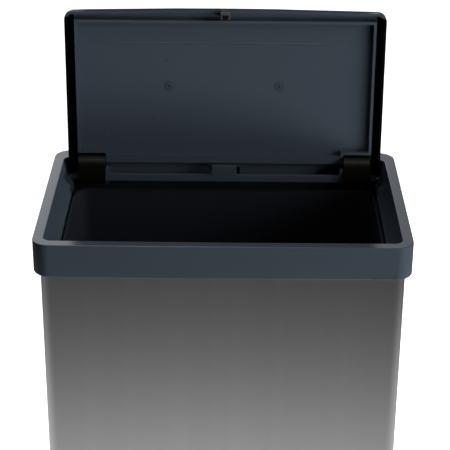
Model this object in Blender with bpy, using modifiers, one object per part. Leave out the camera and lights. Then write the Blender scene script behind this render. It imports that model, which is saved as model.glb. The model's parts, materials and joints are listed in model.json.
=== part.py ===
# A rectangular kitchen bin with a touch-open lid, standing open.
# Metres, +Z up, the front towards -Y, the origin under the middle of the base.

from math import cos, hypot, pi, radians, sin, sqrt

import bmesh
import bpy

# Overall sizes
BIN_HEIGHT = 0.660
COLLAR_WIDTH = 0.400
COLLAR_DEPTH = 0.256
FRONT = -COLLAR_DEPTH / 2
REAR = COLLAR_DEPTH / 2
CLEARANCE = 0.0003
OVERRUN = 0.003
WELD = 0.00001

# Round corners and cylinders, in steps
CORNER_STEPS = 5
BOW_STEPS = 6
TURN_STEPS = 24
ARC_STEPS = 8

# Collar
COLLAR_HEIGHT = 0.0373
COLLAR_WALL = 0.0025
COLLAR_CORNER = 0.018
COLLAR_BOW = 0.0015
RIM_EDGE = 0.0013
LEDGE = 0.0122
LEDGE_THICKNESS = 0.003
GUIDE_DEPTH = 0.013
GUIDE_INSET = 0.0165
THROAT_DEPTH = 0.022
THROAT_INSET = 0.0243
THROAT_CORNER = 0.008
SKIRT_DEPTH = 0.044
BARE_PANEL_WIDTH = 0.024
BARE_PANEL_HEIGHT = 0.007
BARE_PANEL_CUT = 0.0005
BARE_PANEL_EDGE = 0.019

# Hinge axis, and the angle at which the lid stands open
HINGE_INSET = 0.0417
HINGE_DROP = 0.018
HINGE_Y = REAR - HINGE_INSET
HINGE_Z = BIN_HEIGHT - HINGE_DROP
LID_OPEN = radians(93.67)
PIN_RADIUS = 0.002
PIN_BORE = PIN_RADIUS + CLEARANCE

# Lid
LID_FRONT_GAP = 0.005
LID_SIDE_GAP = 0.0055
LID_TAIL = 0.018
LID_TAIL_GAP = 0.0009
LID_PLATE = 0.0026
LID_SKIRT = 0.010
LID_SKIRT_WALL = 0.0033
LID_EDGE = 0.003
LID_CORNER = 0.010
LID_BOW = 0.0027
LID_FOOT = 0.006
LID_TAIL_CORNER = 0.006
RIB_WALL = 0.003
RIB_SIDE_INSET = 0.0112
RIB_FRONT_INSET = 0.010
POCKET_RIB = 0.0283
REAR_RIB = 0.0172
REAR_RIB_WALL = 0.0088

# Rail, tab, lugs and gutter at the back of the collar
RAIL_FRONT = 0.0028
RAIL_BACK = 0.0032
RAIL_TOP = 0.0055
RAIL_BOTTOM = 0.002
GUTTER_WALL = 0.0025
GUTTER_DEPTH = 0.028
GUTTER_REACH = 0.0123
TAB_WIDTH = 0.0286
TAB_DROP = 0.001
NOTCH_GAP = 0.004
NOTCH_REACH = 0.0095
LUG_WALL = 0.004
LUG_HALF = 0.0035
LUG_TOP = 0.0135
LUG_BOTTOM = 0.0056
BOSS_REACH = 0.0054
BOSS_RADIUS = 0.0045
BOSS_END_WALL = 0.0015

# Hinge arms and what turns in them
ARM_WIDTH = 0.031
ARM_PLAY = 0.0005
ARM_TOP = 0.026
ARM_RISE = 0.009
ARM_BARREL = 0.0073
ARM_ROOM = 0.0013
ARM_END_WALL = 0.006
ARM_CAVITY = 0.0054
BUSH_LENGTH = 0.005
SPRING_WIRE = 0.0006
SPRING_MEAN = 0.0039
SPRING_TURNS = 7
SPRING_STEPS = 10

# Body shell and base
SHELL_INSET = 0.0069
SHELL_WALL = 0.0008
SHELL_CORNER = 0.013
BASE_HEIGHT = 0.012
BASE_PROUD = 0.0014
BASE_EDGE = 0.001
BASE_FLOOR = 0.005
UPSTAND = 0.030
UPSTAND_WALL = 0.0025
PAD_RADIUS = 0.012
PAD_HEIGHT = 0.0022
PAD_INSET = 0.030
RIVET_RADIUS = 0.0016
RIVET_HEAD = 0.0034
RIVET_HEAD_HEIGHT = 0.0012
RIVET_LENGTH = 0.005
RIVET_HEIGHT = 0.021
RIVET_SPREAD = 0.075
SNAP_WIDTH = 0.014
SNAP_WALL = 0.0020
SNAP_LENGTH = 0.028
SNAP_SPREAD = 0.065
BARB_DEPTH = 0.018
BARB_HEIGHT = 0.004
BARB_GAP = 0.0006

# Inner bucket
BUCKET_DROP = 0.026
BUCKET_SIDE_GAP = 0.0008
BUCKET_FRONT_GAP = 0.0042
BUCKET_REAR_GAP = 0.0023
BUCKET_RIM = 0.0015
BUCKET_RIM_HEIGHT = 0.010
BUCKET_WALL = 0.002
BUCKET_TAPER = 0.008
BUCKET_CORNER = 0.014
BUCKET_FOOT_EDGE = 0.003
GRIP_WIDTH = 0.080
GRIP_HEIGHT = 0.020
GRIP_DROP = 0.050

# Latch
HOUSING_FRONT = 0.0088
HOUSING_REAR = 0.0267
HOUSING_HALF = 0.0115
HOUSING_WALL = 0.0014
HOUSING_TOP = 0.0125
HOUSING_STEP = 0.0062
HOUSING_LIP = 0.023
HOUSING_BOTTOM = 0.046
EAR_HALF = 0.020
EAR_WALL = 0.0022
EAR_TOP = 0.027
EAR_BOTTOM = 0.043
SLOT_GAP = 0.0003
SLOT_RISE = 0.003
LATCH_SCREW_X = 0.016
LATCH_SCREW_DEPTH = 0.035
SCREW_RADIUS = 0.0015
SCREW_HEAD = 0.0028
SCREW_HEAD_HEIGHT = 0.0014
LATCH_TRAVEL = 0.003
HOOK_SWING = radians(14)
SLIDER_TOP = 0.0203
SLIDER_HEIGHT = 0.0150
SLIDER_GAP = 0.0004
HOOK_PIVOT_Y = 0.0142
HOOK_PIVOT_DEPTH = 0.027
HOOK_HALF = 0.0025
HOOK_BACK = 0.0012
HOOK_FRONT = 0.0018
HOOK_NOSE = 0.0046
HOOK_NOSE_BOTTOM = 0.0091
HOOK_TOP = 0.0107
HOOK_PIN_RADIUS = 0.001
HOOK_PIN_HALF = 0.007
HOOK_SLOT_HALF = 0.0029
HOOK_SLOT_REACH = 0.0190
HOOK_SLOT_DEPTH = 0.0095
LATCH_WIRE = 0.0005
LATCH_COIL = 0.0042
LATCH_TURNS = 4.5

# Striker
STRIKER_HALF = 0.0056
STRIKER_TOP_FRONT = 0.0157
STRIKER_FRONT = 0.0170
STRIKER_REAR = 0.0240
STRIKER_SHOULDER = 0.0080
STRIKER_TIP = 0.0200
NOTCH_BACK = 0.0193
NOTCH_TOP = 0.0140
NOTCH_BOTTOM = 0.0183
STRIKER_WALL = 0.0016

# Places that follow from the sizes above
HALF_WIDTH = COLLAR_WIDTH / 2
THROAT_HALF = HALF_WIDTH - THROAT_INSET
LID_HALF = HALF_WIDTH - LEDGE - LID_SIDE_GAP
LID_REACH = HINGE_Y - (FRONT + LEDGE + LID_FRONT_GAP)
TAIL_SWEEP = hypot(LID_TAIL, HINGE_DROP) + LID_TAIL_GAP
PLATE_UNDER = HINGE_DROP - LID_PLATE
SKIRT_UNDER = HINGE_DROP - LID_SKIRT
ARM_OUTER = THROAT_HALF - BOSS_REACH - ARM_PLAY
ARM_INNER = ARM_OUTER - ARM_WIDTH
LUG_OUTER = ARM_INNER - ARM_PLAY
LUG_INNER = LUG_OUTER - LUG_WALL
BOSS_OUTER = THROAT_HALF + COLLAR_WALL * 2
BOSS_INNER = ARM_OUTER + ARM_PLAY + CLEARANCE
PIN_END = BOSS_OUTER - BOSS_END_WALL
TAIL_HALF = THROAT_HALF - LID_TAIL_GAP
POCKET_INNER = ARM_INNER - CLEARANCE
POCKET_WALL_INNER = POCKET_INNER - RIB_WALL
RIB_OUTER = LID_HALF - RIB_SIDE_INSET
FRONT_RIB = LID_REACH - RIB_FRONT_INSET
CAVITY_START = ARM_INNER + ARM_END_WALL
BUSH_START = ARM_OUTER - BUSH_LENGTH
BUCKET_TOP = BIN_HEIGHT - BUCKET_DROP
BUCKET_HALF = THROAT_HALF - BUCKET_SIDE_GAP
BUCKET_FRONT = FRONT + THROAT_INSET + BUCKET_FRONT_GAP
BUCKET_REAR = HINGE_Y - ARM_BARREL - BUCKET_REAR_GAP
BUCKET_BOTTOM = BASE_FLOOR + CLEARANCE
SHELL_HALF = HALF_WIDTH - SHELL_INSET
SHELL_INNER = SHELL_INSET + SHELL_WALL
SHELL_TOP = BIN_HEIGHT - LEDGE_THICKNESS - CLEARANCE

# Shares of a quarter round: how far in, and how far down
QUARTER_SHARES = ((1, 0), (0.293, 0.293), (0, 1))

# Shares of a screw or rivet head's radius and height where its top and its rim end
HEAD_TOP_SHARE = 0.6
HEAD_EDGE_SHARE = 0.5

# Share of a half turn that the barrel of a hinge arm goes round below its axis
BARREL_SHARE = 0.62

# Share of the collar's bow that is left where the bare panel is
PANEL_BOW_SHARE = 0.25

# Faces that meet at more than this angle keep a sharp edge
SHARP_ANGLE = radians(35)

# Colours: red, green, blue, roughness, metallic
SLATE = (0.045, 0.056, 0.068, 0.42, 0)
STEEL = (0.42, 0.42, 0.42, 0.34, 1)
BRIGHT_STEEL = (0.62, 0.62, 0.62, 0.28, 1)
BLACK = (0.012, 0.012, 0.013, 0.5, 0)
BROWN_BLACK = (0.016, 0.014, 0.012, 0.38, 0)
RUBBER = (0.03, 0.03, 0.03, 0.85, 0)
WHITE = (0.75, 0.75, 0.72, 0.45, 0)


def clear_scene():
    for item in list(bpy.data.objects):
        bpy.data.objects.remove(item, do_unlink=True)


def new_collection(name):
    group = bpy.data.collections.new(name)
    bpy.context.scene.collection.children.link(group)
    return group


clear_scene()
PARTS = new_collection("kitchen_bin")
CUTTERS = new_collection("cutters")


def paint(item, name, look):
    """Give the piece its own Principled material."""
    red, green, blue, roughness, metallic = look
    material = bpy.data.materials.new(name)
    material.use_nodes = True
    shader = material.node_tree.nodes["Principled BSDF"]
    shader.inputs["Base Color"].default_value = (red, green, blue, 1)
    shader.inputs["Roughness"].default_value = roughness
    shader.inputs["Metallic"].default_value = metallic
    item.data.materials.append(material)


def add_mesh(name, build, look=None, parent=None):
    """Make a mesh object from a bmesh; without a look it is a cutter or a part of another piece."""
    mesh = bpy.data.meshes.new(name)
    build.to_mesh(mesh)
    build.free()
    return add_object(name, mesh, look, parent)


def add_object(name, mesh, look=None, parent=None):
    item = bpy.data.objects.new(name, mesh)
    item.parent = parent
    if look:
        PARTS.objects.link(item)
        paint(item, name, look)
    else:
        CUTTERS.objects.link(item)
        item.hide_render = True
        item.display_type = "WIRE"
    return item


def face_out(build):
    """Turn every face outward."""
    bmesh.ops.recalc_face_normals(build, faces=build.faces)
    if build.calc_volume(signed=True) < 0:
        bmesh.ops.reverse_faces(build, faces=build.faces)


def smooth(item):
    item.data.shade_smooth()
    item.data.set_sharp_from_angle(angle=SHARP_ANGLE)
    return item


def cut(item, cutter):
    step = item.modifiers.new("cut " + cutter.name, "BOOLEAN")
    step.operation = "DIFFERENCE"
    step.solver = "EXACT"
    step.object = cutter
    return item


def fuse(item, other):
    step = item.modifiers.new("fuse " + other.name, "BOOLEAN")
    step.operation = "UNION"
    step.solver = "EXACT"
    step.object = other
    return item


def level(side, front, rear, radius, height, bow=0):
    """A rounded rectangle seen from above; its front bows out by the given amount in the middle."""
    points = []
    corners = (
        (side - radius, front + radius, -pi / 2, bow),
        (side - radius, rear - radius, 0, 0),
        (radius - side, rear - radius, pi / 2, 0),
        (radius - side, front + radius, pi, bow),
    )
    for centre_x, centre_y, start, swell in corners:
        for step in range(CORNER_STEPS + 1):
            angle = start + pi / 2 * step / CORNER_STEPS
            x = centre_x + radius * cos(angle)
            y = centre_y + radius * sin(angle)
            points.append((x, y - swell * (1 - (x / side) ** 2), height))
    for step in range(1, BOW_STEPS):
        x = (side - radius) * (2 * step / BOW_STEPS - 1)
        points.append((x, front - bow * (1 - (x / side) ** 2), height))
    return points


def loft(name, levels, look=None, parent=None, hoop=False):
    """A skin over levels with equal point counts, capped at both ends, or closed into a hoop."""
    build = bmesh.new()
    rows = [[build.verts.new(point) for point in points] for points in levels]
    if hoop:
        rows.append(rows[0])
    for lower, upper in zip(rows, rows[1:]):
        for index, corner in enumerate(lower):
            following = (index + 1) % len(lower)
            build.faces.new((corner, lower[following], upper[following], upper[index]))
    if not hoop:
        build.faces.new(rows[0])
        build.faces.new(rows[-1])
    face_out(build)
    return smooth(add_mesh(name, build, look, parent))


def box(name, low, high, look=None, parent=None):
    build = bmesh.new()
    bmesh.ops.create_cube(build, size=1)
    for corner in build.verts:
        for axis in range(3):
            middle = (low[axis] + high[axis]) / 2
            corner.co[axis] = middle + corner.co[axis] * (high[axis] - low[axis])
    return add_mesh(name, build, look, parent)


def rod(name, axis, radius, start, end, centre, look=None, parent=None):
    """A cylinder along x, y or z from start to end, with its middle line through the centre."""
    build = bmesh.new()
    bmesh.ops.create_cone(
        build, cap_ends=True, segments=TURN_STEPS, radius1=radius, radius2=radius, depth=end - start
    )
    along = "xyz".index(axis)
    for corner in build.verts:
        across_a, across_b, length = corner.co
        place = [0, 0, 0]
        place[along] = length + (start + end) / 2
        place[(along + 1) % 3] = across_a + centre[(along + 1) % 3]
        place[(along + 2) % 3] = across_b + centre[(along + 2) % 3]
        corner.co = place
    face_out(build)
    return smooth(add_mesh(name, build, look, parent))


def turned(name, profile, look, place, turn=(0, 0, 0), parent=None):
    """A profile of radius and height, listed down its outer side, turned about local Z."""
    build = bmesh.new()
    corners = [build.verts.new((radius, 0, height)) for radius, height in profile]
    for first, second in zip(corners, corners[1:]):
        build.edges.new((first, second))
    item = add_mesh(name, build, look, parent)
    item.location = place
    item.rotation_euler = turn
    step = item.modifiers.new("turn", "SCREW")
    step.steps = TURN_STEPS
    step.render_steps = TURN_STEPS
    step.use_merge_vertices = True
    step.merge_threshold = WELD
    return item


def tube(name, outer, inner, start, end, centre, look, parent=None):
    """A plain bush along X."""
    ends = ((outer, end), (outer, start), (inner, start), (inner, end), (outer, end))
    place = (0, centre[1], centre[2])
    return turned(name, ends, look, place, turn=(0, pi / 2, 0), parent=parent)


def prism(name, outline, start, end, look=None, parent=None):
    """A flat outline of Y and Z, extruded along X from start to end."""
    build = bmesh.new()
    corners = [build.verts.new((start, y, z)) for y, z in outline]
    face = build.faces.new(corners)
    grown = bmesh.ops.extrude_face_region(build, geom=[face])
    moved = [part for part in grown["geom"] if isinstance(part, bmesh.types.BMVert)]
    bmesh.ops.translate(build, verts=moved, vec=(end - start, 0, 0))
    face_out(build)
    return add_mesh(name, build, look, parent)


def slab(name, outline, low, high, parent=None):
    """A flat outline of X and Y, extruded upward from low to high."""
    build = bmesh.new()
    face = build.faces.new([build.verts.new((x, y, low)) for x, y in outline])
    grown = bmesh.ops.extrude_face_region(build, geom=[face])
    moved = [part for part in grown["geom"] if isinstance(part, bmesh.types.BMVert)]
    bmesh.ops.translate(build, verts=moved, vec=(0, 0, high - low))
    face_out(build)
    return add_mesh(name, build, parent=parent)


def wound(name, points, wire, look):
    """A wire along a path of points, as one closed tube."""
    curve = bpy.data.curves.new(name, "CURVE")
    curve.dimensions = "3D"
    curve.bevel_depth = wire
    curve.bevel_resolution = 1
    curve.use_fill_caps = True
    path = curve.splines.new("POLY")
    path.points.add(len(points) - 1)
    for target, (x, y, z) in zip(path.points, points):
        target.co = (x, y, z, 1)
    guide = bpy.data.objects.new(name + "_path", curve)
    CUTTERS.objects.link(guide)
    bpy.context.view_layer.update()
    mesh = bpy.data.meshes.new_from_object(guide.evaluated_get(bpy.context.evaluated_depsgraph_get()))
    bpy.data.objects.remove(guide, do_unlink=True)
    build = bmesh.new()
    build.from_mesh(mesh)
    bmesh.ops.remove_doubles(build, verts=build.verts, dist=WELD)
    face_out(build)
    build.to_mesh(mesh)
    build.free()
    mesh.name = name
    return smooth(add_object(name, mesh, look))


def tail_inset(depth):
    """How far the collar's rear wall stands in from its back, so that the lid's tail swings past it."""
    drop = max(HINGE_DROP - depth, 0)
    return REAR - (HINGE_Y + sqrt(TAIL_SWEEP**2 - drop**2))


def collar_level(inset, rear_inset, depth, radius, bow=COLLAR_BOW):
    return level(
        HALF_WIDTH - inset, FRONT + inset, REAR - rear_inset, radius, BIN_HEIGHT - depth, bow
    )


def collar_ring():
    """The hollow ring: outer face, top ledge and the sloping guide down to the throat."""
    levels = []
    for across, down in QUARTER_SHARES:
        inset = RIM_EDGE * across
        levels.append(collar_level(inset, inset, RIM_EDGE * down, COLLAR_CORNER - inset))
    levels.append(collar_level(0, 0, COLLAR_HEIGHT - RIM_EDGE, COLLAR_CORNER))
    levels.append(collar_level(RIM_EDGE / 2, RIM_EDGE / 2, COLLAR_HEIGHT, COLLAR_CORNER))
    inner_corner = COLLAR_CORNER - COLLAR_WALL
    levels.append(collar_level(COLLAR_WALL, COLLAR_WALL, COLLAR_HEIGHT, inner_corner))
    levels.append(collar_level(COLLAR_WALL, COLLAR_WALL, LEDGE_THICKNESS, inner_corner))
    guide = (
        (LEDGE, LEDGE_THICKNESS),
        (GUIDE_INSET, GUIDE_DEPTH),
        (THROAT_INSET, THROAT_DEPTH),
        (THROAT_INSET, SKIRT_DEPTH),
    )
    for inset, depth in guide:
        back = tail_inset(depth) - COLLAR_WALL
        levels.append(collar_level(inset - COLLAR_WALL, back, depth, THROAT_CORNER, 0))
    for inset, depth in reversed(guide[1:]):
        levels.append(collar_level(inset, tail_inset(depth), depth, THROAT_CORNER))
    for across, down in reversed(QUARTER_SHARES):
        inset = LEDGE - RIM_EDGE * across
        back = tail_inset(RIM_EDGE * down) - RIM_EDGE * across
        levels.append(collar_level(inset, back, RIM_EDGE * down, THROAT_CORNER))
    return loft("collar", levels, SLATE, hoop=True)


def gutter_outline():
    """The rail, with the sloping wall and floor of the gutter that the lid's tail swings in."""
    floor = -GUTTER_DEPTH + GUTTER_WALL
    wall = REAR - tail_inset(HINGE_DROP) - HINGE_Y + COLLAR_WALL / 2
    back_foot = (GUTTER_REACH - GUTTER_WALL, -GUTTER_DEPTH)
    return [
        (HINGE_Y + y, HINGE_Z + z)
        for y, z in (
            (-RAIL_FRONT, RAIL_TOP),
            (RAIL_BACK, RAIL_TOP),
            (RAIL_BACK, -RAIL_BOTTOM),
            (GUTTER_REACH, floor),
            (wall, floor),
            (wall, -GUTTER_DEPTH),
            back_foot,
            (RAIL_BACK - GUTTER_WALL, -RAIL_BOTTOM - GUTTER_WALL / 2),
            (-RAIL_FRONT, -RAIL_BOTTOM),
        )
    ]


def collar():
    ring = collar_ring()
    axis = (0, HINGE_Y, HINGE_Z)
    reach = THROAT_HALF + COLLAR_WALL / 2
    fuse(ring, cut_for_arms(prism("gutter", gutter_outline(), -reach, reach)))
    tab_low = (-TAB_WIDTH / 2, HINGE_Y - RAIL_FRONT, HINGE_Z)
    tab_high = (TAB_WIDTH / 2, HINGE_Y + RAIL_BACK, BIN_HEIGHT - TAB_DROP)
    fuse(ring, box("tab", tab_low, tab_high))
    for side in (-1, 1):
        lug_x = sorted((side * LUG_INNER, side * LUG_OUTER))
        low = (lug_x[0], HINGE_Y - LUG_HALF, HINGE_Z - LUG_BOTTOM)
        high = (lug_x[1], HINGE_Y + LUG_HALF, HINGE_Z + LUG_TOP)
        fuse(ring, box("lug", low, high))
        boss_x = sorted((side * BOSS_INNER, side * BOSS_OUTER))
        fuse(ring, rod("boss", "x", BOSS_RADIUS, *boss_x, axis))
    for side in (-1, 1):
        bore_x = sorted((side * (LUG_INNER + CLEARANCE), side * PIN_END))
        cut(ring, rod("pin_bore", "x", PIN_BORE, *bore_x, axis))
        for snap_y in (-SNAP_SPREAD, SNAP_SPREAD):
            add_snap(ring, side, snap_y)
    slot_low = (-HOUSING_HALF - SLOT_GAP, FRONT + HOUSING_FRONT, BIN_HEIGHT - SKIRT_DEPTH - OVERRUN)
    slot_high = (
        HOUSING_HALF + SLOT_GAP,
        FRONT + HOUSING_REAR + OVERRUN,
        BIN_HEIGHT - HOUSING_TOP + SLOT_RISE,
    )
    cut(ring, box("latch_slot", slot_low, slot_high))
    for side in (-1, 1):
        centre = (side * LATCH_SCREW_X, 0, BIN_HEIGHT - LATCH_SCREW_DEPTH)
        start = FRONT + THROAT_INSET - COLLAR_WALL - OVERRUN
        end = FRONT + THROAT_INSET + OVERRUN
        cut(ring, rod("screw_hole", "y", SCREW_RADIUS + CLEARANCE, start, end, centre))
    panel_x = HALF_WIDTH - BARE_PANEL_EDGE
    panel_z = BIN_HEIGHT - COLLAR_HEIGHT + RIM_EDGE
    panel_low = (panel_x - BARE_PANEL_WIDTH, FRONT - OVERRUN, panel_z)
    panel_y = FRONT + BARE_PANEL_CUT - COLLAR_BOW * PANEL_BOW_SHARE
    panel_high = (panel_x, panel_y, panel_z + BARE_PANEL_HEIGHT)
    cut(ring, box("bare_panel", panel_low, panel_high))


def cut_for_arms(gutter):
    """Leave room for the barrels of the hinge arms to turn."""
    for side in (-1, 1):
        room_x = sorted((side * LUG_OUTER, side * (ARM_OUTER + ARM_PLAY)))
        cut(gutter, rod("arm_room", "x", ARM_BARREL + ARM_ROOM, *room_x, (0, HINGE_Y, HINGE_Z)))
    return gutter


def add_snap(ring, side, y):
    """A snap rib inside the body shell, with a barb that hooks in a window of the shell."""
    top = BIN_HEIGHT - LEDGE_THICKNESS / 2
    inner = HALF_WIDTH - SHELL_INNER - CLEARANCE
    rib_x = sorted((side * (inner - SNAP_WALL), side * inner))
    low = (rib_x[0], y - SNAP_WIDTH / 2, top - SNAP_LENGTH)
    high = (rib_x[1], y + SNAP_WIDTH / 2, top)
    fuse(ring, box("snap_rib", low, high))
    barb_x = sorted((side * (inner - SNAP_WALL / 2), side * (SHELL_HALF - CLEARANCE)))
    barb_top = BIN_HEIGHT - BARB_DEPTH
    low = (barb_x[0], y - SNAP_WIDTH / 4, barb_top - BARB_HEIGHT)
    high = (barb_x[1], y + SNAP_WIDTH / 4, barb_top)
    fuse(ring, box("barb", low, high))


def body_shell():
    """The steel sleeve: one thin wall, open at both ends."""
    levels = []
    for inset, radius, ends in (
        (SHELL_INSET, SHELL_CORNER, (BASE_HEIGHT + CLEARANCE, SHELL_TOP)),
        (SHELL_INNER, SHELL_CORNER - SHELL_WALL, (SHELL_TOP, BASE_HEIGHT + CLEARANCE)),
    ):
        for height in ends:
            side = HALF_WIDTH - inset
            levels.append(level(side, FRONT + inset, REAR - inset, radius, height))
    shell = loft("body_shell", levels, STEEL, hoop=True)
    for side in (-1, 1):
        wall_x = sorted((side * (SHELL_HALF - SHELL_WALL - OVERRUN), side * (SHELL_HALF + OVERRUN)))
        for y in (-SNAP_SPREAD, SNAP_SPREAD):
            barb_top = BIN_HEIGHT - BARB_DEPTH
            half = SNAP_WIDTH / 4 + BARB_GAP
            low = (wall_x[0], y - half, barb_top - BARB_HEIGHT - BARB_GAP)
            high = (wall_x[1], y + half, barb_top + BARB_GAP)
            cut(shell, box("snap_window", low, high))
        for y in (-RIVET_SPREAD, RIVET_SPREAD):
            centre = (0, y, RIVET_HEIGHT)
            cut(shell, rod("rivet_hole", "x", RIVET_RADIUS + CLEARANCE, *wall_x, centre))


def base_level(inset, height):
    radius = SHELL_CORNER + SHELL_INSET - inset
    return level(HALF_WIDTH - inset, FRONT + inset, REAR - inset, radius, height)


def base_tray():
    """The moulded base: a plinth under the shell, an upstand inside it and the tray floor."""
    plinth = SHELL_INSET - BASE_PROUD
    upstand = SHELL_INNER + CLEARANCE
    levels = [
        base_level(plinth + BASE_EDGE, 0),
        base_level(plinth, BASE_EDGE),
        base_level(plinth, BASE_HEIGHT),
        base_level(upstand, BASE_HEIGHT),
        base_level(upstand, UPSTAND),
        base_level(upstand + UPSTAND_WALL, UPSTAND),
        base_level(upstand + UPSTAND_WALL, BASE_FLOOR),
    ]
    tray = loft("base_tray", levels, BLACK)
    pad_x = SHELL_HALF - PAD_INSET
    pad_y = REAR - SHELL_INSET - PAD_INSET
    number = 0
    for side in (-1, 1):
        for y in (-pad_y, pad_y):
            number += 1
            centre = (side * pad_x, y, 0)
            pocket = rod(
                "pad_pocket", "z", PAD_RADIUS + CLEARANCE, -OVERRUN, PAD_HEIGHT + CLEARANCE, centre
            )
            cut(tray, pocket)
            rod(f"anti_slip_pad_{number}", "z", PAD_RADIUS, 0, PAD_HEIGHT, centre, RUBBER)
    number = 0
    for side in (-1, 1):
        for y in (-RIVET_SPREAD, RIVET_SPREAD):
            number += 1
            end = SHELL_HALF - SHELL_WALL
            wall_x = sorted((side * (end - UPSTAND_WALL - OVERRUN), side * (end + OVERRUN)))
            hole = RIVET_RADIUS + CLEARANCE
            cut(tray, rod("rivet_hole", "x", hole, *wall_x, (0, y, RIVET_HEIGHT)))
            fastener(
                f"base_rivet_{number}",
                (RIVET_HEAD, RIVET_HEAD_HEIGHT, RIVET_RADIUS, RIVET_LENGTH),
                (side * (SHELL_HALF + CLEARANCE), y, RIVET_HEIGHT),
                (0, side * pi / 2, 0),
            )


def fastener(name, sizes, place, turn):
    """A screw or rivet whose head sits on the place and whose shank runs down local Z."""
    head, height, shank, length = sizes
    profile = (
        (0, height),
        (head * HEAD_TOP_SHARE, height),
        (head, height * HEAD_EDGE_SHARE),
        (head, 0),
        (shank, 0),
        (shank, -length),
        (0, -length),
    )
    return turned(name, profile, BRIGHT_STEEL, place, turn)


def bucket_level(inset, height, taper=0):
    shrink = inset + taper
    return level(
        BUCKET_HALF - shrink, BUCKET_FRONT + shrink, BUCKET_REAR - shrink, BUCKET_CORNER, height
    )


def inner_bucket():
    """The lift-out bucket, with a turned-out rim and a finger slot at each end."""
    shoulder = BUCKET_TOP - BUCKET_RIM_HEIGHT
    wall = BUCKET_RIM + BUCKET_WALL
    levels = [
        bucket_level(BUCKET_RIM + BUCKET_FOOT_EDGE, BUCKET_BOTTOM, BUCKET_TAPER),
        bucket_level(BUCKET_RIM, BUCKET_BOTTOM + BUCKET_FOOT_EDGE, BUCKET_TAPER),
        bucket_level(BUCKET_RIM, shoulder),
        bucket_level(0, shoulder),
        bucket_level(0, BUCKET_TOP - RIM_EDGE),
        bucket_level(RIM_EDGE, BUCKET_TOP),
        bucket_level(wall - RIM_EDGE, BUCKET_TOP),
        bucket_level(wall, BUCKET_TOP - RIM_EDGE),
        bucket_level(wall, BUCKET_BOTTOM + BUCKET_FOOT_EDGE + BUCKET_WALL, BUCKET_TAPER),
        bucket_level(wall + BUCKET_FOOT_EDGE, BUCKET_BOTTOM + BUCKET_WALL, BUCKET_TAPER),
    ]
    bucket = loft("inner_bucket", levels, BLACK)
    middle = (BUCKET_FRONT + BUCKET_REAR) / 2
    top = shoulder - GRIP_DROP + GRIP_HEIGHT / 2
    for side in (-1, 1):
        grip_x = sorted((side * (BUCKET_HALF - wall - BUCKET_TAPER), side * (BUCKET_HALF + OVERRUN)))
        low = (grip_x[0], middle - GRIP_WIDTH / 2, top - GRIP_HEIGHT)
        high = (grip_x[1], middle + GRIP_WIDTH / 2, top)
        cut(bucket, box("finger_slot", low, high))


def lid_level(inset, height, tail_inset_share=0):
    """A level of the closed lid, measured from the hinge axis; height 0 is the axis."""
    side = LID_HALF - inset
    front = inset - LID_REACH
    rear = LID_TAIL - inset * tail_inset_share
    radius = max(LID_CORNER - inset, RIB_WALL)
    return level(side, front, rear, radius, height, LID_BOW)


def lid_ribs(pivot):
    """The frame of ribs under the lid, drawn as one outline with an inner outline."""
    outer_front = -FRONT_RIB
    inner_front = -FRONT_RIB + LID_SKIRT_WALL
    pocket_front = -POCKET_RIB - RIB_WALL
    rear_front = -REAR_RIB - REAR_RIB_WALL
    inner_side = RIB_OUTER - RIB_WALL
    outer = (
        (RIB_OUTER, outer_front),
        (RIB_OUTER, -POCKET_RIB),
        (POCKET_INNER, -POCKET_RIB),
        (POCKET_INNER, -REAR_RIB),
    )
    inner = (
        (inner_side, inner_front),
        (inner_side, pocket_front),
        (POCKET_WALL_INNER, pocket_front),
        (POCKET_WALL_INNER, rear_front),
    )
    build = bmesh.new()
    loops = []
    for half in (outer, inner):
        path = list(half) + [(-x, y) for x, y in reversed(half)]
        loops.append([build.verts.new((x, y, SKIRT_UNDER)) for x, y in path])
    for index in range(len(loops[0])):
        following = (index + 1) % len(loops[0])
        corners = (loops[0][index], loops[0][following], loops[1][following], loops[1][index])
        build.faces.new(corners)
    grown = bmesh.ops.extrude_face_region(build, geom=list(build.faces))
    moved = [part for part in grown["geom"] if isinstance(part, bmesh.types.BMVert)]
    rise = PLATE_UNDER - SKIRT_UNDER + LID_PLATE / 2
    bmesh.ops.translate(build, verts=moved, vec=(0, 0, rise))
    face_out(build)
    return add_mesh("lid_ribs", build, parent=pivot)


def lid(pivot):
    """The inset lid: a plate with a round-edged skirt on three sides and a tail behind the hinge."""
    levels = [lid_level(LID_EDGE, HINGE_DROP, 1)]
    for across, down in QUARTER_SHARES[1:]:
        levels.append(lid_level(LID_EDGE * across, HINGE_DROP - LID_EDGE * down, across))
    levels.append(lid_level(0, SKIRT_UNDER + RIM_EDGE / 2))
    levels.append(lid_level(RIM_EDGE / 2, SKIRT_UNDER))
    levels.append(lid_level(LID_SKIRT_WALL, SKIRT_UNDER, 1))
    levels.append(lid_level(LID_SKIRT_WALL, PLATE_UNDER, 1))
    plate = loft("lid", levels, SLATE, pivot)
    fuse(plate, lid_ribs(pivot))
    wide = LID_HALF + OVERRUN
    behind = LID_TAIL + OVERRUN
    under = SKIRT_UNDER - OVERRUN
    low = (-wide, -LID_FOOT, under)
    cut(plate, box("tail_relief", low, (wide, behind, PLATE_UNDER), parent=pivot))
    for side in (-1, 1):
        outline = [(side * x, y) for x, y in tail_corner(wide, behind)]
        top = HINGE_DROP + OVERRUN
        cut(plate, slab("tail_corner", outline, under, top, parent=pivot))
    notch = TAB_WIDTH / 2 + NOTCH_GAP
    low = (-notch, -NOTCH_REACH, under)
    high = (notch, behind, HINGE_DROP + OVERRUN)
    cut(plate, box("tail_notch", low, high, parent=pivot))
    low = (-STRIKER_HALF - CLEARANCE, -LID_REACH - LID_BOW - OVERRUN, under)
    high = (STRIKER_HALF + CLEARANCE, -FRONT_RIB - CLEARANCE, PLATE_UNDER)
    cut(plate, box("striker_seat", low, high, parent=pivot))


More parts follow.
